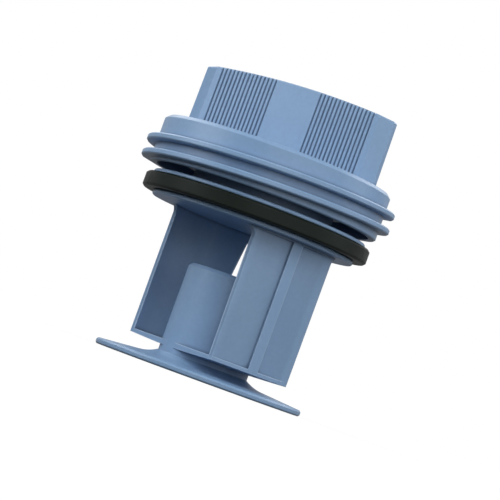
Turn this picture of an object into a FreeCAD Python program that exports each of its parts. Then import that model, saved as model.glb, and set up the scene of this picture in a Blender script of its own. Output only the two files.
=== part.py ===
# Drain pump filter of a washing machine: a screw cap that turns on a filter insert with its seal ring.
# Millimetres. Z is the axis of the filter, the insert's foot disc stands on Z = 0 and the cap is on top.
# The blade grip and the windows of the cage are turned about Z to the angles they have to each other.

import FreeCAD, Part
import math
import os

# Foot disc with the flare that carries the post
foot_radius = 28.1
foot_thickness = 1.6
foot_edge = 0.4
foot_rise = 0.9
flare_height = 4.1
flare_reach = 5.0
flare_sag = 0.35

# Hollow post, closed on top and cored from below
post_radius = 12.2
post_top = 28.1
post_wall = 1.8
post_roof = 2.0
post_edge = 0.9

# Cage: two curved walls and a floor between two parallel window planes
cage_radius = 23.4
cage_wall = 1.25
floor_under = 5.5
floor_thickness = 1.5
floor_rise = 0.5
window_plane = 12.55
window_draft = 0.5
wall_turn = -55.6
cage_shift = 0.5
rib_width = 3.0
rib_turn = -3.7
panel_depth = 0.8
panel_reach = 30.0
panel_margin = 0.5

# Plug with the seal groove between two flanges
plug_bottom = 41.35
plug_plate = 1.7
low_flange_radius = 27.6
low_flange_thickness = 1.2
high_flange_radius = 29.1
high_flange_thickness = 1.0
flange_edge = 0.25
groove_radius = 26.0
groove_wall = 2.0

# Seal ring of rubber
seal_radius = 30.85
seal_height = 4.0
seal_edge = 0.5
seal_gap = 0.05

# Hub of the insert, on which the cap snaps and turns
hub_radius = 19.1
hub_wall = 1.9
hub_lead = 0.5
run_gap = 0.08
end_play = 0.3
snap_overlap = 0.4
snap_width = 1.2
snap_gap = 0.3
snap_drop = 4.0

# Screw cap
cap_gap = 1.8
cap_radius = 31.15
cap_height = 12.35
cap_roof = 2.4
cap_wall = 1.9
cap_edge = 0.9
skirt_edge = 0.3
sleeve_wall = 2.0
sleeve_lift = 1.9

# Coarse right-hand thread on the cap
thread_depth = 2.65
thread_pitch = 4.12
thread_turns = 1.656
thread_start = 152.0
thread_root_width = 1.9
thread_crest_width = 1.5
thread_crest_edge = 0.3
thread_root_sink = 0.5
thread_runout_reach = 20.0

# Blade grip with an arched top and fine upright grooves
grip_length = 56.2
grip_thickness = 6.0
grip_facet = 3.7
grip_end_width = 1.8
grip_height = 19.0
grip_arch = 1.7
grip_draft = 0.8
grip_turn = -25.0
grip_edge = 0.3
grip_core_wall = 1.8
groove_count = 15
groove_first = 6.75
groove_pitch = 1.126
groove_width = 0.6
groove_depth = 0.45
grip_root = 0.5

# Sizes that follow from those above
floor_top = floor_under + floor_thickness
groove_bottom = plug_bottom + low_flange_thickness
groove_height = seal_height + 2 * seal_gap
groove_top = groove_bottom + groove_height
plug_top = groove_top + high_flange_thickness
skirt_bottom = plug_top + cap_gap
cap_top = skirt_bottom + cap_height
ceiling = cap_top - cap_roof
hub_top = ceiling - end_play
snap_height = hub_top - snap_drop
thread_radius = cap_radius + thread_depth

UP = FreeCAD.Vector(0, 0, 1)
ORIGIN = FreeCAD.Vector(0, 0, 0)


def point(radius, height):
    """A point of a half section, radius along X and height along Z."""
    return FreeCAD.Vector(radius, 0, height)


def outline(*points):
    """Straight edges through the points, closed."""
    return Part.makePolygon(list(points) + [points[0]])


def turned(wire):
    """Solid of revolution about Z of a closed half section."""
    return Part.Face(wire).revolve(ORIGIN, UP, 360)


def about_axis(shape, angle):
    """The shape turned about Z, in degrees."""
    shape.rotate(ORIGIN, UP, angle)
    return shape


def edges_at(shape, radius, height):
    """Full circles of the shape about Z with this radius and height."""
    found = []
    for edge in shape.Edges:
        curve = edge.Curve
        if isinstance(curve, Part.Circle) and abs(curve.Radius - radius) < 0.001:
            if abs(curve.Center.z - height) < 0.001:
                found.append(edge)
    return found


def foot_and_post():
    """The foot disc that falls to its rim, its concave flare and the post, cored from below."""
    flare_end = post_radius + flare_reach
    flare_low = foot_thickness + foot_rise
    middle = point(post_radius + flare_reach / 2, (flare_low + flare_height) / 2 - flare_sag)
    top = point(0, post_top)
    shoulder = point(post_radius, post_top)
    neck = point(post_radius, flare_height)
    flare_foot = point(flare_end, flare_low)
    rim_top = point(foot_radius, foot_thickness)
    rim_bottom = point(foot_radius, 0)
    bore_radius = post_radius - post_wall
    bore_mouth = point(bore_radius, 0)
    bore_top = point(bore_radius, post_top - post_roof)
    bore_middle = point(0, post_top - post_roof)
    edges = [
        Part.makeLine(top, shoulder),
        Part.makeLine(shoulder, neck),
        Part.Arc(neck, middle, flare_foot).toShape(),
        Part.makeLine(flare_foot, rim_top),
        Part.makeLine(rim_top, rim_bottom),
        Part.makeLine(rim_bottom, bore_mouth),
        Part.makeLine(bore_mouth, bore_top),
        Part.makeLine(bore_top, bore_middle),
        Part.makeLine(bore_middle, top),
    ]
    body = turned(Part.Wire(edges))
    body = body.makeChamfer(post_edge, edges_at(body, post_radius, post_top))
    rims = edges_at(body, foot_radius, foot_thickness) + edges_at(body, foot_radius, 0)
    return body.makeChamfer(foot_edge, rims)


def window_slab():
    """What lies between the two window planes, which lean in towards the foot."""
    rise = plug_bottom - floor_under
    lean = rise * math.tan(math.radians(window_draft))
    low = window_plane - lean / 2
    high = window_plane + lean / 2
    reach = cage_radius + cage_wall
    section = outline(
        FreeCAD.Vector(-reach, -low, floor_under),
        FreeCAD.Vector(-reach, low, floor_under),
        FreeCAD.Vector(-reach, high, plug_bottom),
        FreeCAD.Vector(-reach, -high, plug_bottom),
    )
    return Part.Face(section).extrude(FreeCAD.Vector(2 * reach, 0, 0))


def panel_cutter():
    """Crescents outside a flatter curve, one each side of the rib of both walls, turned with the rib."""
    half_chord = cage_radius * math.sin(math.radians(panel_reach))
    sag = cage_radius - panel_depth - cage_radius * math.cos(math.radians(panel_reach))
    curve_radius = (half_chord ** 2 + sag ** 2) / (2 * sag)
    curve_shift = curve_radius - (cage_radius - panel_depth)
    bottom = floor_top
    height = plug_bottom - panel_margin - bottom
    outside = 2 * cage_radius
    cutters = []
    for side in (1, -1):
        half = Part.makeBox(outside, 2 * outside, height)
        half.translate(FreeCAD.Vector(0 if side > 0 else -outside, -outside, bottom))
        curve = Part.makeCylinder(curve_radius, height, FreeCAD.Vector(-side * curve_shift, 0, bottom))
        rib = Part.makeBox(2 * outside, rib_width, height)
        rib.translate(FreeCAD.Vector(-outside, -rib_width / 2, bottom))
        cutters.append(about_axis(half.cut(curve).cut(rib), rib_turn))
    return cutters


def cage():
    """Floor and two walls with their recessed panels, between the window planes."""
    inner = cage_radius - cage_wall
    sunk = plug_bottom + plug_plate / 2
    section = outline(
        point(post_radius - post_wall / 2, floor_under),
        point(cage_radius, floor_under + floor_rise),
        point(cage_radius, sunk),
        point(inner, sunk),
        point(inner, floor_top),
        point(post_radius - post_wall / 2, floor_top),
    )
    body = turned(section).common(window_slab())
    for cutter in panel_cutter():
        body = body.cut(cutter)
    body = about_axis(body, wall_turn)
    body.translate(FreeCAD.Vector(cage_shift, 0, 0))
    return body


def plug():
    """Closed plate, seal groove between its flanges, and the hub with its snap groove."""
    inside = groove_radius - groove_wall
    hub_inside = hub_radius - hub_wall
    plate_top = plug_bottom + plug_plate
    snap_radius = hub_radius - snap_overlap - snap_gap
    snap_half = snap_width / 2 + snap_gap
    section = outline(
        point(0, plug_bottom),
        point(low_flange_radius, plug_bottom),
        point(low_flange_radius, groove_bottom),
        point(groove_radius, groove_bottom),
        point(groove_radius, groove_top),
        point(high_flange_radius, groove_top),
        point(high_flange_radius, plug_top),
        point(inside, plug_top),
        point(inside, plate_top),
        point(hub_radius, plate_top),
        point(hub_radius, snap_height - snap_half),
        point(snap_radius, snap_height - snap_half),
        point(snap_radius, snap_height + snap_half),
        point(hub_radius, snap_height + snap_half),
        point(hub_radius, hub_top - hub_lead),
        point(hub_radius - hub_lead, hub_top),
        point(hub_inside, hub_top),
        point(hub_inside, plate_top),
        point(0, plate_top),
    )
    body = turned(section)
    rims = edges_at(body, low_flange_radius, plug_bottom) + edges_at(body, low_flange_radius, groove_bottom)
    rims += edges_at(body, high_flange_radius, groove_top) + edges_at(body, high_flange_radius, plug_top)
    return body.makeChamfer(flange_edge, rims)


def filter_insert():
    """Foot, post, cage and plug, moulded in one piece."""
    return foot_and_post().fuse(cage()).fuse(plug()).removeSplitter()


def seal_ring():
    """Ring of square section in the groove, with bevelled outer edges."""
    inner = groove_radius + seal_gap
    bottom = groove_bottom + seal_gap
    top = bottom + seal_height
    section = outline(point(inner, bottom), point(seal_radius, bottom), point(seal_radius, top), point(inner, top))
    body = turned(section)
    rims = edges_at(body, seal_radius, bottom) + edges_at(body, seal_radius, top)
    return body.makeChamfer(seal_edge, rims)


def cap_shell():
    """Cup with its skirt down, and inside it the sleeve that turns on the hub."""
    inner = cap_radius - cap_wall
    bore = hub_radius + run_gap
    sleeve_outside = bore + sleeve_wall
    sleeve_bottom = skirt_bottom + sleeve_lift
    bead_radius = hub_radius - snap_overlap
    bead_half = snap_width / 2
    section = outline(
        point(0, cap_top),
        point(cap_radius, cap_top),
        point(cap_radius, skirt_bottom),
        point(inner, skirt_bottom),
        point(inner, ceiling),
        point(sleeve_outside, ceiling),
        point(sleeve_outside, sleeve_bottom),
        point(bore, sleeve_bottom),
        point(bore, snap_height - bead_half),
        point(bead_radius, snap_height - bead_half / 2),
        point(bead_radius, snap_height + bead_half / 2),
        point(bore, snap_height + bead_half),
        point(bore, ceiling),
        point(0, ceiling),
    )
    body = turned(section)
    body = body.makeChamfer(cap_edge, edges_at(body, cap_radius, cap_top))
    return body.makeChamfer(skirt_edge, edges_at(body, cap_radius, skirt_bottom))


def thread_ridge():
    """Helical ridge with a bevelled crest that runs out into the cap's side at both ends."""
    root = cap_radius - thread_root_sink
    shoulder = thread_radius - thread_crest_edge
    half_root = thread_root_width / 2
    half_shoulder = thread_crest_width / 2
    half_crest = half_shoulder - thread_crest_edge
    section = outline(
        point(root, -half_root),
        point(shoulder, -half_shoulder),
        point(thread_radius, -half_crest),
        point(thread_radius, half_crest),
        point(shoulder, half_shoulder),
        point(root, half_root),
    )
    height = thread_pitch * thread_turns
    path = Part.Wire(Part.makeHelix(thread_pitch, height, root).Edges)
    ridge = path.makePipeShell([section], True, True)
    ridge = Part.Solid(ridge) if ridge.ShapeType == "Shell" else ridge
    depth = 2 * (thread_radius - root)
    width = 2 * thread_runout_reach
    for end_height, end_angle in ((0, 0), (height, 360 * thread_turns)):
        runout = Part.makeBox(depth, width, thread_pitch)
        runout.translate(FreeCAD.Vector(cap_radius, -width / 2, end_height - thread_pitch / 2))
        ridge = ridge.cut(about_axis(runout, end_angle))
    ridge.translate(FreeCAD.Vector(0, 0, skirt_bottom + half_root))
    return about_axis(ridge, thread_start)


def blade_plan(inset, height):
    """Outline of the blade at a height: straight sides, a facet at each corner and narrow ends."""
    draft = inset + math.tan(math.radians(grip_draft)) * (height - cap_top - grip_height / 2)
    side = grip_thickness / 2 - draft
    end = grip_length / 2 - draft
    end_side = grip_end_width / 2
    corner = end - grip_facet
    return outline(
        FreeCAD.Vector(corner, side, height),
        FreeCAD.Vector(-corner, side, height),
        FreeCAD.Vector(-end, end_side, height),
        FreeCAD.Vector(-end, -end_side, height),
        FreeCAD.Vector(-corner, -side, height),
        FreeCAD.Vector(corner, -side, height),
        FreeCAD.Vector(end, -end_side, height),
        FreeCAD.Vector(end, end_side, height),
    )


def drafted_blade(inset, bottom, top):
    """Blade with faceted ends, thinner towards its top, set in from the grip's own faces."""
    return Part.makeLoft([blade_plan(inset, bottom), blade_plan(inset, top)], True, True)


def arch_space(drop):
    """Everything above the arched top of the grip, lowered by the given amount."""
    crown = cap_top + grip_height - drop
    radius = ((grip_length / 2) ** 2 + grip_arch ** 2) / (2 * grip_arch)
    reach = grip_length
    side = crown - radius + math.sqrt(radius ** 2 - reach ** 2)
    above = crown + grip_height
    left = FreeCAD.Vector(-reach, -reach, side)
    middle = FreeCAD.Vector(0, -reach, crown)
    right = FreeCAD.Vector(reach, -reach, side)
    right_above = FreeCAD.Vector(reach, -reach, above)
    left_above = FreeCAD.Vector(-reach, -reach, above)
    section = Part.Wire([
        Part.Arc(left, middle, right).toShape(),
        Part.makeLine(right, right_above),
        Part.makeLine(right_above, left_above),
        Part.makeLine(left_above, left),
    ])
    return Part.Face(section).extrude(FreeCAD.Vector(0, 2 * reach, 0))


def grip_groove(place, face):
    """Cutter of one upright V groove, as deep below the drafted face as it stands out of it."""
    middle = cap_top + grip_height / 2
    lean = math.tan(math.radians(grip_draft))
    wires = []
    for height in (cap_top, cap_top + grip_height):
        surface = grip_thickness / 2 - lean * (height - middle)
        wires.append(outline(
            FreeCAD.Vector(place, face * (surface - groove_depth), height),
            FreeCAD.Vector(place - groove_width, face * (surface + groove_depth), height),
            FreeCAD.Vector(place + groove_width, face * (surface + groove_depth), height),
        ))
    return Part.makeLoft(wires, True, True)


def grip_grooves():
    """Cutters for two groups of grooves on each face of the blade."""
    grooves = []
    for index in range(groove_count):
        place = groove_first + index * groove_pitch
        for side in (1, -1):
            for face in (1, -1):
                grooves.append(grip_groove(side * place, face))
    return Part.makeCompound(grooves)


def grip():
    """The blade with its arched top, bevelled rim and grooves."""
    blade = drafted_blade(0, cap_top - grip_root, cap_top + grip_height + grip_arch)
    blade = blade.cut(arch_space(0)).Solids[0]
    lowest_top = cap_top + grip_height / 2
    rim = [edge for edge in blade.Edges if edge.BoundBox.ZMin > lowest_top]
    blade = blade.makeChamfer(grip_edge, rim)
    return about_axis(blade.cut(grip_grooves()), grip_turn)


def grip_core():
    """The hollow inside the blade, open to the underside of the cap."""
    core = drafted_blade(grip_core_wall, ceiling - end_play, cap_top + grip_height + grip_arch)
    core = core.cut(arch_space(grip_core_wall))
    return about_axis(core, grip_turn)


def screw_cap():
    """Cup, thread and blade grip, moulded in one piece."""
    return cap_shell().fuse(thread_ridge()).fuse(grip()).cut(grip_core()).removeSplitter()


nodes = {
    "filter_insert": filter_insert(),
    "seal_ring": seal_ring(),
    "screw_cap": screw_cap(),
}

os.makedirs("parts", exist_ok=True)
for name, shape in nodes.items():
    solid = shape.Solids[0] if len(shape.Solids) == 1 else shape
    solid.exportStep("parts/" + name + ".step")
    box = solid.BoundBox
    print(name, "solids", len(shape.Solids), "valid", shape.isValid(), "volume", round(shape.Volume, 1))
    print("  x", round(box.XMin, 2), round(box.XMax, 2), "z", round(box.ZMin, 2), round(box.ZMax, 2))
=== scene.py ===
import math

import bmesh
import bpy
from mathutils import Matrix, Vector


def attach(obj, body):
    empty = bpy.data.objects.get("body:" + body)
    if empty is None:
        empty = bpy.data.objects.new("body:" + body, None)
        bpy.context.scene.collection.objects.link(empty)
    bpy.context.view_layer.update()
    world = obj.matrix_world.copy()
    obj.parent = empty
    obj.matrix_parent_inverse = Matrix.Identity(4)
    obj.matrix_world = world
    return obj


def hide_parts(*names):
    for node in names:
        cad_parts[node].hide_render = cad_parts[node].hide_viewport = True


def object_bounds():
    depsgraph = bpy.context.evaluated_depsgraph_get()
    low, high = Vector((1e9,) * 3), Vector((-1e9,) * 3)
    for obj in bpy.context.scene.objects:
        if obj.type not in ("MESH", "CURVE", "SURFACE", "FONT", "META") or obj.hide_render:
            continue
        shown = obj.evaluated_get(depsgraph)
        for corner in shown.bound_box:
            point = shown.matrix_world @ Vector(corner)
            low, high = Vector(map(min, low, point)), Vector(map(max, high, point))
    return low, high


bl_info = {
    "name": "Drain Pump Filter",
    "version": (1, 0, 0),
    "blender": (4, 5, 0),
    "location": "View3D > Sidebar > Pump Filter",
    "description": "Finishes the screw cap, the filter insert and the seal ring, and sets the stage",
    "category": "Object",
}

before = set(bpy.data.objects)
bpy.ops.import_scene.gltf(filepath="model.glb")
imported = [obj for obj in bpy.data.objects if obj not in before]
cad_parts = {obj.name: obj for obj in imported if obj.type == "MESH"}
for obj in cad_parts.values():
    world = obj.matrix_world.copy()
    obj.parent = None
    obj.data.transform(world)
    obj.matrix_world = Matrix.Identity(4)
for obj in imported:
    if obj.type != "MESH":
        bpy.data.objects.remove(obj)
cad_low, cad_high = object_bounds()

MILLIMETRE = 0.001
CRISP_ANGLE = math.radians(28)
SOFT_ANGLE = math.radians(50)

# Shares of open air round a point, from where an edge or a corner begins to where it is full, for the painted
# edge highlight and the painted corner shade
EDGE_HIGHLIGHT_RANGE = (0.9, 0.35)
CORNER_SHADE_RANGE = (0.85, 0.45)
EDGE_SAMPLES = 12
BEVEL_SAMPLES = 6

# The grain's noise, and the size of the mottle in grains
GRAIN_DETAIL = 3.0
GRAIN_ROUGHNESS = 0.6
MOTTLE_GRAINS = 6.0

# Values of a noise between which its effect goes from nothing to full
CLOUD_RANGE = (0.3, 0.7)
SPECK_RANGE = (0.35, 0.65)

# How strongly each effect changes the colour; the edge shares paint highlight and the corner share paints
# shade
CLOUD_SHARE = 0.10
SPECK_SHARE = 0.06
# Painted highlight along the plastic's outer edges
EDGE_HIGHLIGHT_SHARE = 0.9
# Painted shade in the plastic's inner corners
CORNER_SHADE_SHARE = 0.7
DUST_SHARE = 0.25
# Painted highlight along the rubber's edges
RUBBER_EDGE_HIGHLIGHT_SHARE = 0.6

PLASTIC_IOR = 1.49
RUBBER_IOR = 1.52
RUBBER_SHEEN = 0.12

# How far the mottle takes the roughness below and above its setting
PLASTIC_SPREAD = (-0.04, 0.05)
RUBBER_SPREAD = (-0.06, 0.08)

# The cage's place and sizes, as the insert's solid has them
CAGE_PLACE = Matrix.Translation((0.5 * MILLIMETRE, 0, 0)) @ Matrix.Rotation(math.radians(-55.6), 4, "Z")
CAGE_RADIUS = 23.4 * MILLIMETRE
CAGE_WALL = 1.25 * MILLIMETRE
CAGE_TOP = 41.35 * MILLIMETRE
CAGE_FLOOR = 7.0 * MILLIMETRE
WINDOW_TOP = 12.7 * MILLIMETRE
WINDOW_SLOPE = math.tan(math.radians(0.5))
RELIEF_DEPTH = 5 * CAGE_WALL
CORNER_STEPS = 8
SINK = 0.3 * MILLIMETRE
SKIN = 0.04 * MILLIMETRE

# Name, azimuth and elevation in degrees, distance and size in metres, and the setting of the level
SOFTBOXES = (
    ("key_light", -72, 24, 0.36, 0.22, "key_level"),
    ("high_light", 0, 40, 0.42, 0.18, "high_level"),
    ("front_light", 36, 14, 0.42, 0.32, "front_level"),
    ("rim_light", 2, 7, 0.42, 0.14, "rim_level"),
    ("fill_light", 86, 24, 0.40, 0.22, "fill_level"),
    ("back_left_light", -140, 40, 0.42, 0.25, "back_level"),
    ("back_right_light", 140, 40, 0.42, 0.25, "back_level"),
)

# Heights of a direction between which the tent brightens above the floor and fades towards its top
HORIZON_RISE = (-0.04, 0.08)
OVERHEAD_FALL = (0.3, 0.9)

# White that a glossy ray sees at least in the tent and in the floor
HORIZON_SHEEN = 0.3
FLOOR_SHEEN = 0.22

FLOOR_RADIUS = 6.0
FLOOR_RINGS = 24
FLOOR_SIDES = 96
FLOOR_GROWTH = 3
FLOOR_GAP = 0.05 * MILLIMETRE
FLOOR_ROUGHNESS = 0.9

# Distances from the filter between which the floor turns fully white, and its levels of white there
WHITE_REACH = (0.06, 0.4)
WHITE_LEVELS = (0.93, 1.0)

# The camera's sensor in millimetres, and the distances in metres between which it sees
SENSOR_WIDTH = 36
CLIP_RANGE = (0.01, 50)


# Node building

# Places of the colour sockets of a Mix node
FIRST_COLOUR, SECOND_COLOUR, MIXED_COLOUR = 6, 7, 2


class Sheet:
    """A node tree that is filled one node at a time."""

    def __init__(self, tree):
        self.tree = tree

    def node(self, kind, inputs=None, **settings):
        """A new node with its settings, and with each named input linked or set."""
        made = self.tree.nodes.new(kind)
        for name, value in settings.items():
            setattr(made, name, value)
        for name, value in (inputs or {}).items():
            self.fill(made.inputs[name], value)
        return made

    def fill(self, socket, value):
        """Links the socket to another socket, or sets its value."""
        if isinstance(value, bpy.types.NodeSocket):
            self.tree.links.new(value, socket)
        else:
            socket.default_value = value

    def math(self, operation, first, second):
        """Result of a math node."""
        return self.node("ShaderNodeMath", {0: first, 1: second}, operation=operation).outputs[0]

    def rescale(self, value, low, high, to_low=0.0, to_high=1.0, smooth=False):
        """The value taken from one range to another."""
        made = self.node(
            "ShaderNodeMapRange",
            {"Value": value, "From Min": low, "From Max": high, "To Min": to_low, "To Max": to_high},
            interpolation_type="SMOOTHSTEP" if smooth else "LINEAR",
        )
        return made.outputs["Result"]

    def blend(self, share, first, second):
        """Two colours mixed, with this share of the second."""
        made = self.node("ShaderNodeMix", data_type="RGBA")
        self.fill(made.inputs["Factor"], share)
        self.fill(made.inputs[FIRST_COLOUR], first)
        self.fill(made.inputs[SECOND_COLOUR], second)
        return made.outputs[MIXED_COLOUR]

    def noise(self, place, size, detail=2.0, roughness=0.5):
        """Noise between 0 and 1 whose features are about this size in metres."""
        scale = self.math("DIVIDE", 1.0, size)
        made = self.node(
            "ShaderNodeTexNoise", {"Vector": place, "Scale": scale, "Detail": detail, "Roughness": roughness}
        )
        return made.outputs["Fac"]


def opaque(colour):
    """The colour with a full fourth channel."""
    return (*colour, 1.0)


def group_tree(name, inputs, outputs):
    """An empty shader node group with its sockets, as (sheet, input node, output node)."""
    tree = bpy.data.node_groups.new(name, "ShaderNodeTree")
    for label, kind, value in inputs:
        socket = tree.interface.new_socket(label, in_out="INPUT", socket_type=kind)
        socket.default_value = value
    for label, kind in outputs:
        tree.interface.new_socket(label, in_out="OUTPUT", socket_type=kind)
    sheet = Sheet(tree)
    return sheet, sheet.node("NodeGroupInput"), sheet.node("NodeGroupOutput")


def painted_light_masks():
    """Masks of outer edges, where highlight is painted, and of inner corners, where shade is painted."""
    sheet, given, result = group_tree(
        "Painted edge highlight and corner shade",
        [("Edge Reach", "NodeSocketFloat", 0.0005), ("Corner Reach", "NodeSocketFloat", 0.0018)],
        [("Edge", "NodeSocketFloat"), ("Corner", "NodeSocketFloat")],
    )
    # The Edge mask marks where highlight is painted, the Corner mask where shade is painted
    for mask, reach, inside, limits in (
        ("Edge", "Edge Reach", True, EDGE_HIGHLIGHT_RANGE),
        ("Corner", "Corner Reach", False, CORNER_SHADE_RANGE),
    ):
        air = sheet.node(
            "ShaderNodeAmbientOcclusion",
            {"Distance": given.outputs[reach]},
            samples=EDGE_SAMPLES,
            inside=inside,
            only_local=True,
        )
        sheet.fill(result.inputs[mask], sheet.rescale(air.outputs["AO"], *limits, smooth=True))
    return sheet.tree


def moulding_group():
    """Skin of a moulded surface: a normal with rounded edges and grain, and a slow and a fine mottle."""
    sheet, given, result = group_tree(
        "Moulded skin",
        [
            ("Edge Radius", "NodeSocketFloat", 0.0002),
            ("Grain Size", "NodeSocketFloat", 0.0002),
            ("Grain Depth", "NodeSocketFloat", 0.000004),
            ("Flow Size", "NodeSocketFloat", 0.02),
        ],
        [("Normal", "NodeSocketVector"), ("Flow", "NodeSocketFloat"), ("Mottle", "NodeSocketFloat")],
    )
    place = sheet.node("ShaderNodeTexCoord").outputs["Object"]
    rounded = sheet.node("ShaderNodeBevel", {"Radius": given.outputs["Edge Radius"]}, samples=BEVEL_SAMPLES)
    grain = sheet.noise(place, given.outputs["Grain Size"], GRAIN_DETAIL, GRAIN_ROUGHNESS)
    bump = sheet.node(
        "ShaderNodeBump",
        {
            "Strength": 1.0,
            "Distance": given.outputs["Grain Depth"],
            "Height": grain,
            "Normal": rounded.outputs["Normal"],
        },
    )
    flow = sheet.noise(place, given.outputs["Flow Size"])
    mottle_size = sheet.math("MULTIPLY", given.outputs["Grain Size"], MOTTLE_GRAINS)
    mottle = sheet.noise(place, mottle_size, GRAIN_DETAIL)
    sheet.fill(result.inputs["Normal"], bump.outputs["Normal"])
    sheet.fill(result.inputs["Flow"], flow)
    sheet.fill(result.inputs["Mottle"], mottle)
    return sheet.tree


def effect(name, build):
    """The node group of that name, built the first time that a material asks for it."""
    return bpy.data.node_groups.get(name) or build()


def new_material(name):
    """A new material, with the sheet of its nodes and its surface shader."""
    material = bpy.data.materials.new(name)
    material.use_nodes = True
    sheet = Sheet(material.node_tree)
    return material, sheet, material.node_tree.nodes["Principled BSDF"]


def wear(piece, material):
    """Gives the piece this material all over."""
    for slot in piece.material_slots:
        slot.material = material
    return piece


def smooth(piece, angle):
    """Shades the piece smooth but for edges sharper than the angle."""
    piece.data.shade_smooth()
    piece.data.set_sharp_from_angle(angle=angle)
    return piece


def flatten(piece):
    """Keeps the large faces of the piece flat where they meet small ones."""
    evened = piece.modifiers.new("large_faces_flat", "WEIGHTED_NORMAL")
    evened.mode = "FACE_AREA_WITH_ANGLE"
    evened.keep_sharp = True


# Sizes and colours that a user would change

class PlasticSettings(bpy.types.PropertyGroup):
    """Finish of the moulded plastic."""

    colour: bpy.props.FloatVectorProperty(
        name="Colour", description="Colour of the plastic", subtype="COLOR", min=0, max=1,
        default=(0.180, 0.300, 0.478),
    )
    # Colour of the pale clouds, and of the highlight painted along the outer edges
    cloud_and_highlight_colour: bpy.props.FloatVectorProperty(
        name="Cloud and edge highlight colour", description="Colour of the pale clouds, and of the highlight painted along outer edges",
        subtype="COLOR", min=0, max=1, default=(0.380, 0.520, 0.710),
    )
    # Colour of the dark specks, and of the shade painted in inner corners and recessed panels
    speck_and_shade_colour: bpy.props.FloatVectorProperty(
        name="Speck and shade colour", description="Colour of the dark specks, and of the shade painted in inner corners and recessed panels",
        subtype="COLOR", min=0, max=1, default=(0.046, 0.084, 0.155),
    )
    roughness: bpy.props.FloatProperty(
        name="Roughness", description="Roughness of the satin surface",
        default=0.36, min=0, max=1, subtype="FACTOR",
    )
    # Share of the speck and shade colour painted as shade into the recessed panels
    panel_shade: bpy.props.FloatProperty(
        name="Panel shade", description="How much shade is painted into the recessed panels",
        default=0.17, min=0, max=1, subtype="FACTOR",
    )
    edge_radius: bpy.props.FloatProperty(
        name="Edge radius", description="Rounding of the moulded edges", default=0.25 * MILLIMETRE,
        unit="LENGTH", precision=5,
    )
    grain_size: bpy.props.FloatProperty(
        name="Grain size", description="Size of the fine grain", default=0.18 * MILLIMETRE,
        unit="LENGTH", precision=5,
    )
    grain_depth: bpy.props.FloatProperty(
        name="Grain depth", description="Depth of the fine grain", default=0.004 * MILLIMETRE,
        unit="LENGTH", precision=6,
    )
    flow_size: bpy.props.FloatProperty(
        name="Flow size", description="Size of the pale and dark clouds in the plastic",
        default=16 * MILLIMETRE, unit="LENGTH", precision=4,
    )


class RubberSettings(bpy.types.PropertyGroup):
    """Finish of the rubber."""

    colour: bpy.props.FloatVectorProperty(
        name="Colour", description="Colour of the rubber", subtype="COLOR", min=0, max=1,
        default=(0.006, 0.010, 0.008),
    )
    # Colour of the dusty clouds, and of the highlight painted along the edges
    dust_and_highlight_colour: bpy.props.FloatVectorProperty(
        name="Cloud and edge highlight colour", description="Colour of the dusty clouds, and of the highlight painted along the edges", subtype="COLOR", min=0, max=1,
        default=(0.020, 0.027, 0.023),
    )
    roughness: bpy.props.FloatProperty(
        name="Roughness", description="Roughness of the rubber", default=0.42, min=0, max=1, subtype="FACTOR",
    )
    edge_radius: bpy.props.FloatProperty(
        name="Edge radius", description="Rounding of the ring's edges", default=0.4 * MILLIMETRE,
        unit="LENGTH", precision=5,
    )
    grain_size: bpy.props.FloatProperty(
        name="Grain size", description="Size of the rubber's grain", default=0.25 * MILLIMETRE,
        unit="LENGTH", precision=5,
    )
    grain_depth: bpy.props.FloatProperty(
        name="Grain depth", description="Depth of the rubber's grain", default=0.008 * MILLIMETRE,
        unit="LENGTH", precision=6,
    )
    flow_size: bpy.props.FloatProperty(
        name="Flow size", description="Size of the dusty clouds on the rubber",
        default=20 * MILLIMETRE, unit="LENGTH", precision=4,
    )


class StageSettings(bpy.types.PropertyGroup):
    """Camera and light."""

    eye: bpy.props.FloatVectorProperty(
        name="Camera place", description="Where the camera stands", default=(0.0, -0.59306, 0.00442),
        unit="LENGTH", subtype="XYZ",
    )
    target: bpy.props.FloatVectorProperty(
        name="Camera target", description="The point in the middle of the picture",
        default=(0.001378, 0.0, 0.036322), unit="LENGTH", subtype="XYZ",
    )
    lens: bpy.props.FloatProperty(
        name="Lens", description="Focal length on the camera's sensor", default=164.47, unit="CAMERA",
    )
    roll: bpy.props.FloatProperty(
        name="Roll", description="How far the filter leans to the right in the picture",
        default=math.radians(20.08), subtype="ANGLE",
    )
    key_level: bpy.props.FloatProperty(
        name="Key light",
        description="Light of the left softbox, where 1 lights a facing white card to white",
        default=0.47, min=0,
    )
    high_level: bpy.props.FloatProperty(
        name="High light", description="Light of the high softbox in front", default=0.33, min=0,
    )
    front_level: bpy.props.FloatProperty(
        name="Front light", description="Light of the softbox at the front right", default=0.20, min=0,
    )
    rim_level: bpy.props.FloatProperty(
        name="Rim light", description="Light of the low softbox in front, which catches the rims",
        default=0.06, min=0,
    )
    fill_level: bpy.props.FloatProperty(
        name="Fill light", description="Light of the right softbox", default=0.26, min=0,
    )
    back_level: bpy.props.FloatProperty(
        name="Back light", description="Light of each of the two softboxes behind", default=0.22, min=0,
    )
    horizon_level: bpy.props.FloatProperty(
        name="Horizon light", description="Light of the white tent round the sides", default=0.50, min=0,
    )
    dome_level: bpy.props.FloatProperty(
        name="Dome light", description="Light of the white tent overhead", default=0.48, min=0,
    )
    low_level: bpy.props.FloatProperty(
        name="Low light", description="Light of the tent below the horizon", default=0.05, min=0,
    )
    floor_colour: bpy.props.FloatVectorProperty(
        name="Floor colour", description="Colour of the pale floor", subtype="COLOR", min=0, max=1,
        default=(0.06, 0.06, 0.06),
    )


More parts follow.
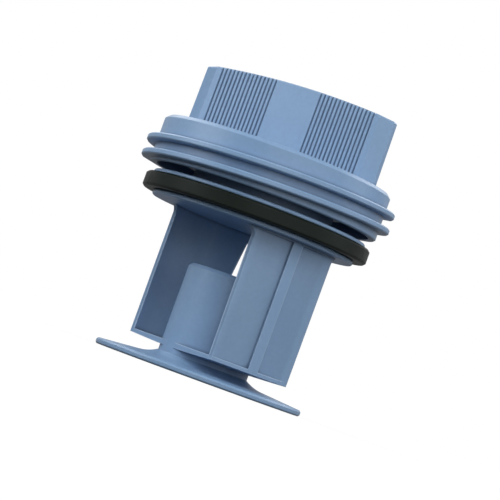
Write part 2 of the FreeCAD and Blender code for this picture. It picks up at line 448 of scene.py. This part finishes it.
class CageSettings(bpy.types.PropertyGroup):
    """Fine shapes of the cage's windows."""

    corner: bpy.props.FloatProperty(
        name="Window corner", description="Radius of the fillets at the top of the windows",
        default=2.5 * MILLIMETRE, unit="LENGTH", precision=4,
    )
    relief_top: bpy.props.FloatProperty(
        name="Relief at the top", description="How far the back wall's slanted edge is set back at its top",
        default=0.55 * MILLIMETRE, unit="LENGTH", precision=4,
    )
    relief_foot: bpy.props.FloatProperty(
        name="Relief at the foot", description="How far the back wall's slanted edge is set back at its foot",
        default=3.0 * MILLIMETRE, unit="LENGTH", precision=4,
    )
    relief_corner: bpy.props.FloatProperty(
        name="Relief corner", description="Radius at the top of the slanted edge",
        default=3.6 * MILLIMETRE, unit="LENGTH", precision=4,
    )
    relief_fillet: bpy.props.FloatProperty(
        name="Relief fillet", description="Radius at the foot of the slanted edge",
        default=1.6 * MILLIMETRE, unit="LENGTH", precision=4,
    )


# The moulded insert

def window_side(height):
    """Half the width between the two window planes, which lean in towards the foot."""
    return WINDOW_TOP - (CAGE_TOP - height) * WINDOW_SLOPE


def arc(centre, radius, start, end):
    """Points of an arc from one angle to another, in degrees, round a centre given as (across, height)."""
    points = []
    for step in range(CORNER_STEPS + 1):
        angle = math.radians(start + (end - start) * step / CORNER_STEPS)
        points.append((centre[0] + radius * math.cos(angle), centre[1] + radius * math.sin(angle)))
    return points


def add_closed(body, front, back):
    """Adds a closed solid to the bmesh, from a front and a back outline with as many points."""
    ends = [[body.verts.new(CAGE_PLACE @ Vector(point)) for point in ring] for ring in (front, back)]
    faces = [body.faces.new(ends[0]), body.faces.new(list(reversed(ends[1])))]
    for index in range(len(front)):
        after = (index + 1) % len(front)
        faces.append(body.faces.new((ends[0][after], ends[0][index], ends[1][index], ends[1][after])))
    bmesh.ops.recalc_face_normals(body, faces=faces)


def window_fillets(settings):
    """The four fillets between the walls' upright edges and the plug."""
    body = bmesh.new()
    radius = settings.corner
    outline = [(-SINK, CAGE_TOP - radius), (-SINK, CAGE_TOP + SINK), (radius, CAGE_TOP + SINK)]
    outline += arc((radius, CAGE_TOP - radius), radius, 90, 180)
    for wall in (1, -1):
        for side in (1, -1):
            rings = []
            for reach in (CAGE_RADIUS - CAGE_WALL + SKIN, CAGE_RADIUS - SKIN):
                ring = []
                for beyond, height in outline:
                    across = window_side(height) + beyond
                    along = math.sqrt(reach ** 2 - across ** 2)
                    ring.append((wall * along, side * across, height))
                rings.append(ring)
            add_closed(body, *rings)
    return body


def slanted_relief(settings):
    """What the back wall lacks along its slanted edge."""
    body = bmesh.new()
    foot = CAGE_FLOOR + SINK
    side = WINDOW_TOP + 2 * SINK
    top_edge = WINDOW_TOP - settings.relief_top
    foot_edge = window_side(CAGE_FLOOR) - settings.relief_foot
    corner, fillet = settings.relief_corner, settings.relief_fillet
    outline = [(side, foot), (side, CAGE_TOP)]
    outline += [
        (across, height)
        for across, height in arc((top_edge + corner, CAGE_TOP - corner), corner, 90, 180)
        if across < side
    ]
    outline += arc((foot_edge + fillet, foot + fillet), fillet, 180, 270)
    inner, outer = CAGE_RADIUS - RELIEF_DEPTH, CAGE_RADIUS + CAGE_WALL
    rings = [[(-along, across, height) for across, height in outline] for along in (inner, outer)]
    add_closed(body, *rings)
    return body


def reshape(piece, body, operation):
    """Joins the solids of the bmesh to the piece, or takes them out of it."""
    mesh = bpy.data.meshes.new("tool")
    body.to_mesh(mesh)
    body.free()
    tool = bpy.data.objects.new("tool", mesh)
    bpy.context.scene.collection.objects.link(tool)
    change = piece.modifiers.new("change", "BOOLEAN")
    change.operation = operation
    change.solver = "EXACT"
    change.object = tool
    shaped = bpy.data.meshes.new_from_object(piece.evaluated_get(bpy.context.evaluated_depsgraph_get()))
    piece.modifiers.remove(change)
    if len(shaped.polygons) <= len(piece.data.polygons):
        raise RuntimeError(f"{operation} left {piece.name} as it was")
    piece.data = shaped
    bpy.data.objects.remove(tool)
    bpy.data.meshes.remove(mesh)


def moulded_insert(settings):
    """The insert with the fillets and the slanted edge of its windows, in place of its plain solid."""
    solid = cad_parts["filter_insert"]
    piece = bpy.data.objects.new("moulded_insert", solid.data.copy())
    bpy.context.scene.collection.objects.link(piece)
    reshape(piece, slanted_relief(settings), "DIFFERENCE")
    reshape(piece, window_fillets(settings), "UNION")
    piece.data.attributes.remove(piece.data.attributes["custom_normal"])
    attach(piece, "insert")
    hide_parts("filter_insert")
    return piece


# The finishes

def panel_shade_mask(sheet):
    """Mask of the recessed panels of the cage's walls, where shade is painted, from how far they lie inside
    its round.
    """
    place = sheet.node("ShaderNodeTexCoord").outputs["Object"]
    axis = sheet.node("ShaderNodeVectorMath", {0: place, 1: CAGE_PLACE.translation}, operation="SUBTRACT")
    parts = sheet.node("ShaderNodeSeparateXYZ", {"Vector": axis.outputs["Vector"]})
    flat = sheet.node("ShaderNodeCombineXYZ", {"X": parts.outputs["X"], "Y": parts.outputs["Y"]})
    length = sheet.node("ShaderNodeVectorMath", {0: flat.outputs["Vector"]}, operation="LENGTH")
    radius = length.outputs["Value"]
    inside = sheet.rescale(radius, CAGE_RADIUS - SKIN, CAGE_RADIUS - SINK, smooth=True)
    wall = sheet.math("GREATER_THAN", radius, CAGE_RADIUS - CAGE_WALL + SKIN)
    above = sheet.math("GREATER_THAN", parts.outputs["Z"], CAGE_FLOOR)
    below = sheet.math("LESS_THAN", parts.outputs["Z"], CAGE_TOP)
    height = sheet.math("MULTIPLY", above, below)
    return sheet.math("MULTIPLY", sheet.math("MULTIPLY", inside, wall), height)


def moulded_skin(sheet, settings):
    """The node of the moulded skin, with its values from the settings."""
    skin = sheet.node("ShaderNodeGroup", node_tree=effect("Moulded skin", moulding_group))
    for socket, value in (
        ("Edge Radius", settings.edge_radius),
        ("Grain Size", settings.grain_size),
        ("Grain Depth", settings.grain_depth),
        ("Flow Size", settings.flow_size),
    ):
        skin.inputs[socket].default_value = value
    return skin


def cover(sheet, surface, skin, colour, smoothest, roughest):
    """Gives the shader its colour, the skin's normal, and a roughness that follows the mottle."""
    roughness = sheet.rescale(skin.outputs["Mottle"], *CLOUD_RANGE, smoothest, roughest)
    sheet.fill(surface.inputs["Base Color"], colour)
    sheet.fill(surface.inputs["Roughness"], roughness)
    sheet.fill(surface.inputs["Normal"], skin.outputs["Normal"])


def satin_plastic(settings):
    """Grey-blue plastic with a satin skin, pale clouds and dark specks, painted highlight along its edges,
    and painted shade in its corners and recessed panels.
    """
    material, sheet, surface = new_material("satin_plastic")
    skin = moulded_skin(sheet, settings)
    masks = sheet.node("ShaderNodeGroup", node_tree=effect("Painted edge highlight and corner shade", painted_light_masks))
    pale, deep = opaque(settings.cloud_and_highlight_colour), opaque(settings.speck_and_shade_colour)
    cloud = sheet.rescale(skin.outputs["Flow"], *CLOUD_RANGE, 0.0, CLOUD_SHARE)
    colour = sheet.blend(cloud, opaque(settings.colour), pale)
    speck = sheet.rescale(skin.outputs["Mottle"], *SPECK_RANGE, 0.0, SPECK_SHARE)
    colour = sheet.blend(speck, colour, deep)
    # Shade painted into the recessed panels of the cage
    painted_recess_shade = sheet.math("MULTIPLY", panel_shade_mask(sheet), settings.panel_shade)
    colour = sheet.blend(painted_recess_shade, colour, deep)
    # Highlight painted along the outer edges
    edge = sheet.math("MULTIPLY", masks.outputs["Edge"], EDGE_HIGHLIGHT_SHARE)
    colour = sheet.blend(edge, colour, pale)
    # Shade painted in the inner corners
    corner = sheet.math("MULTIPLY", masks.outputs["Corner"], CORNER_SHADE_SHARE)
    colour = sheet.blend(corner, colour, deep)
    cover(sheet, surface, skin, colour, *(settings.roughness + change for change in PLASTIC_SPREAD))
    surface.inputs["IOR"].default_value = PLASTIC_IOR
    return material


def black_rubber(settings):
    """Black rubber with a soft sheen, dusty clouds, and painted highlight along its edges."""
    material, sheet, surface = new_material("black_rubber")
    skin = moulded_skin(sheet, settings)
    masks = sheet.node("ShaderNodeGroup", node_tree=effect("Painted edge highlight and corner shade", painted_light_masks))
    dust_and_highlight = opaque(settings.dust_and_highlight_colour)
    dust = sheet.rescale(skin.outputs["Flow"], *CLOUD_RANGE, 0.0, DUST_SHARE)
    colour = sheet.blend(dust, opaque(settings.colour), dust_and_highlight)
    # Highlight painted along the rubber's edges
    edge = sheet.math("MULTIPLY", masks.outputs["Edge"], RUBBER_EDGE_HIGHLIGHT_SHARE)
    colour = sheet.blend(edge, colour, dust_and_highlight)
    cover(sheet, surface, skin, colour, *(settings.roughness + change for change in RUBBER_SPREAD))
    surface.inputs["IOR"].default_value = RUBBER_IOR
    surface.inputs["Specular IOR Level"].default_value = RUBBER_SHEEN
    return material


# The stage

def softbox(name, target, azimuth, elevation, distance, size, level):
    """A square lamp, which lights a white card that faces it at the target to this level of white."""
    lamp = bpy.data.lights.new(name, "AREA")
    lamp.shape = "SQUARE"
    lamp.size = size
    lamp.energy = level * math.pi ** 2 * distance ** 2
    side, height = math.radians(azimuth), math.radians(elevation)
    way = Vector((math.sin(side) * math.cos(height), -math.cos(side) * math.cos(height), math.sin(height)))
    stand = bpy.data.objects.new(name, lamp)
    turn = (-way).to_track_quat("-Z", "Y").to_matrix().to_4x4()
    stand.matrix_world = Matrix.Translation(Vector(target) + way * distance) @ turn
    bpy.context.scene.collection.objects.link(stand)


def studio_world(settings):
    """A white tent, dim below the horizon, that the camera sees as white."""
    world = bpy.data.worlds.new("studio")
    world.use_nodes = True
    sheet = Sheet(world.node_tree)
    backdrop = world.node_tree.nodes["Background"]
    way = sheet.node("ShaderNodeTexCoord").outputs["Generated"]
    height = sheet.node("ShaderNodeSeparateXYZ", {"Vector": way}).outputs["Z"]
    rise = sheet.rescale(height, *HORIZON_RISE, settings.low_level, settings.horizon_level, smooth=True)
    fall = sheet.rescale(height, *OVERHEAD_FALL, settings.horizon_level, settings.dome_level, smooth=True)
    tent = sheet.math("MINIMUM", rise, fall)
    path = sheet.node("ShaderNodeLightPath")
    sheen = sheet.math("MULTIPLY", path.outputs["Is Glossy Ray"], HORIZON_SHEEN)
    shown = sheet.math("MAXIMUM", path.outputs["Is Camera Ray"], sheen)
    backdrop.inputs["Color"].default_value = (1, 1, 1, 1)
    sheet.fill(backdrop.inputs["Strength"], sheet.math("MAXIMUM", tent, shown))
    bpy.context.scene.world = world


def pale_floor(settings, low):
    """A round floor, white to the camera but for the object's shadow."""
    corners = [(0.0, 0.0, low)]
    for ring in range(FLOOR_RINGS):
        reach = FLOOR_RADIUS * ((ring + 1) / FLOOR_RINGS) ** FLOOR_GROWTH
        for side in range(FLOOR_SIDES):
            turn = math.tau * side / FLOOR_SIDES
            corners.append((reach * math.cos(turn), reach * math.sin(turn), low))
    faces = [(0, 1 + side, 1 + (side + 1) % FLOOR_SIDES) for side in range(FLOOR_SIDES)]
    for ring in range(FLOOR_RINGS - 1):
        inner, outer = 1 + ring * FLOOR_SIDES, 1 + (ring + 1) * FLOOR_SIDES
        for side in range(FLOOR_SIDES):
            after = (side + 1) % FLOOR_SIDES
            faces.append((inner + side, outer + side, outer + after, inner + after))
    mesh = bpy.data.meshes.new("floor")
    mesh.from_pydata(corners, [], faces)
    floor = bpy.data.objects.new("floor", mesh)
    bpy.context.scene.collection.objects.link(floor)

    material, sheet, surface = new_material("floor")
    mesh.materials.append(material)
    surface.inputs["Base Color"].default_value = opaque(settings.floor_colour)
    surface.inputs["Roughness"].default_value = FLOOR_ROUGHNESS
    surface.inputs["Specular IOR Level"].default_value = 0.0
    surface.inputs["Emission Color"].default_value = (1, 1, 1, 1)
    path = sheet.node("ShaderNodeLightPath")
    sheen = sheet.math("MULTIPLY", path.outputs["Is Glossy Ray"], FLOOR_SHEEN)
    seen = sheet.math("MAXIMUM", path.outputs["Is Camera Ray"], sheen)
    place = sheet.node("ShaderNodeTexCoord").outputs["Object"]
    distance = sheet.node("ShaderNodeVectorMath", {0: place}, operation="LENGTH").outputs["Value"]
    glow = sheet.rescale(distance, *WHITE_REACH, *WHITE_LEVELS, smooth=True)
    sheet.fill(surface.inputs["Emission Strength"], sheet.math("MULTIPLY", seen, glow))


def camera(settings):
    """The camera at the photograph's place, rolled so that the filter leans."""
    eye, target = Vector(settings.eye), Vector(settings.target)
    forward = (target - eye).normalized()
    right = forward.cross(Vector((0, 0, 1))).normalized()
    up = right.cross(forward)
    turn = Matrix.Rotation(-settings.roll, 3, forward)
    right, up = turn @ right, turn @ up
    lens = bpy.data.cameras.new("camera")
    lens.lens = settings.lens
    lens.sensor_width = SENSOR_WIDTH
    lens.clip_start, lens.clip_end = CLIP_RANGE
    body = bpy.data.objects.new("camera", lens)
    body.matrix_world = Matrix.Translation(eye) @ Matrix((right, up, -forward)).transposed().to_4x4()
    bpy.context.scene.collection.objects.link(body)
    bpy.context.scene.camera = body


# Operators

class PUMPFILTER_OT_screw_cap(bpy.types.Operator):
    """Finish the threaded cap with its blade grip in blue plastic"""

    bl_idname = "pumpfilter.screw_cap"
    bl_label = "Screw cap"

    def execute(self, context):
        settings = context.scene.pumpfilter_plastic
        material = bpy.data.materials.get("satin_plastic") or satin_plastic(settings)
        flatten(smooth(wear(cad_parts["screw_cap"], material), CRISP_ANGLE))
        return {"FINISHED"}


class PUMPFILTER_OT_filter_insert(bpy.types.Operator):
    """Shape the cage's windows and finish the foot, post, cage and plug in blue plastic"""

    bl_idname = "pumpfilter.filter_insert"
    bl_label = "Filter insert"

    def execute(self, context):
        settings = context.scene.pumpfilter_plastic
        material = bpy.data.materials.get("satin_plastic") or satin_plastic(settings)
        insert = moulded_insert(context.scene.pumpfilter_cage)
        smooth(wear(insert, material), CRISP_ANGLE)
        return {"FINISHED"}


class PUMPFILTER_OT_seal_ring(bpy.types.Operator):
    """Finish the seal ring in black rubber"""

    bl_idname = "pumpfilter.seal_ring"
    bl_label = "Seal ring"

    def execute(self, context):
        material = black_rubber(context.scene.pumpfilter_rubber)
        flatten(smooth(wear(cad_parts["seal_ring"], material), SOFT_ANGLE))
        return {"FINISHED"}


class PUMPFILTER_OT_stage(bpy.types.Operator):
    """Set the floor, the backdrop, the lamps and the camera"""

    bl_idname = "pumpfilter.stage"
    bl_label = "Stage"

    def execute(self, context):
        settings = context.scene.pumpfilter_stage
        middle = (cad_low + cad_high) / 2
        camera(settings)
        studio_world(settings)
        pale_floor(settings, cad_low.z - FLOOR_GAP)
        for name, azimuth, elevation, distance, size, level in SOFTBOXES:
            softbox(name, middle, azimuth, elevation, distance, size, getattr(settings, level))
        context.scene.view_settings.view_transform = "Standard"
        return {"FINISHED"}


class PUMPFILTER_PT_panel(bpy.types.Panel):
    """Lists the filter's pieces and the stage"""

    bl_label = "Pump Filter"
    bl_idname = "PUMPFILTER_PT_panel"
    bl_space_type = "VIEW_3D"
    bl_region_type = "UI"
    bl_category = "Pump Filter"

    def draw(self, context):
        layout = self.layout
        for operator in OPERATORS:
            layout.operator(operator.bl_idname)
        for name, group in SETTINGS.items():
            box = layout.box()
            for label in group.__annotations__:
                box.prop(getattr(context.scene, name), label)


OPERATORS = (
    PUMPFILTER_OT_stage,
    PUMPFILTER_OT_screw_cap,
    PUMPFILTER_OT_filter_insert,
    PUMPFILTER_OT_seal_ring,
)
SETTINGS = {
    "pumpfilter_plastic": PlasticSettings,
    "pumpfilter_rubber": RubberSettings,
    "pumpfilter_cage": CageSettings,
    "pumpfilter_stage": StageSettings,
}


def register():
    for group in SETTINGS.values():
        bpy.utils.register_class(group)
    for operator in OPERATORS:
        bpy.utils.register_class(operator)
    bpy.utils.register_class(PUMPFILTER_PT_panel)
    for name, group in SETTINGS.items():
        setattr(bpy.types.Scene, name, bpy.props.PointerProperty(type=group))


def unregister():
    for name in SETTINGS:
        delattr(bpy.types.Scene, name)
    bpy.utils.unregister_class(PUMPFILTER_PT_panel)
    for operator in reversed(OPERATORS):
        bpy.utils.unregister_class(operator)
    for group in reversed(list(SETTINGS.values())):
        bpy.utils.unregister_class(group)


def main():
    register()
    bpy.ops.pumpfilter.stage()
    bpy.ops.pumpfilter.screw_cap()
    bpy.ops.pumpfilter.filter_insert()
    bpy.ops.pumpfilter.seal_ring()


if __name__ == "__main__":
    main()
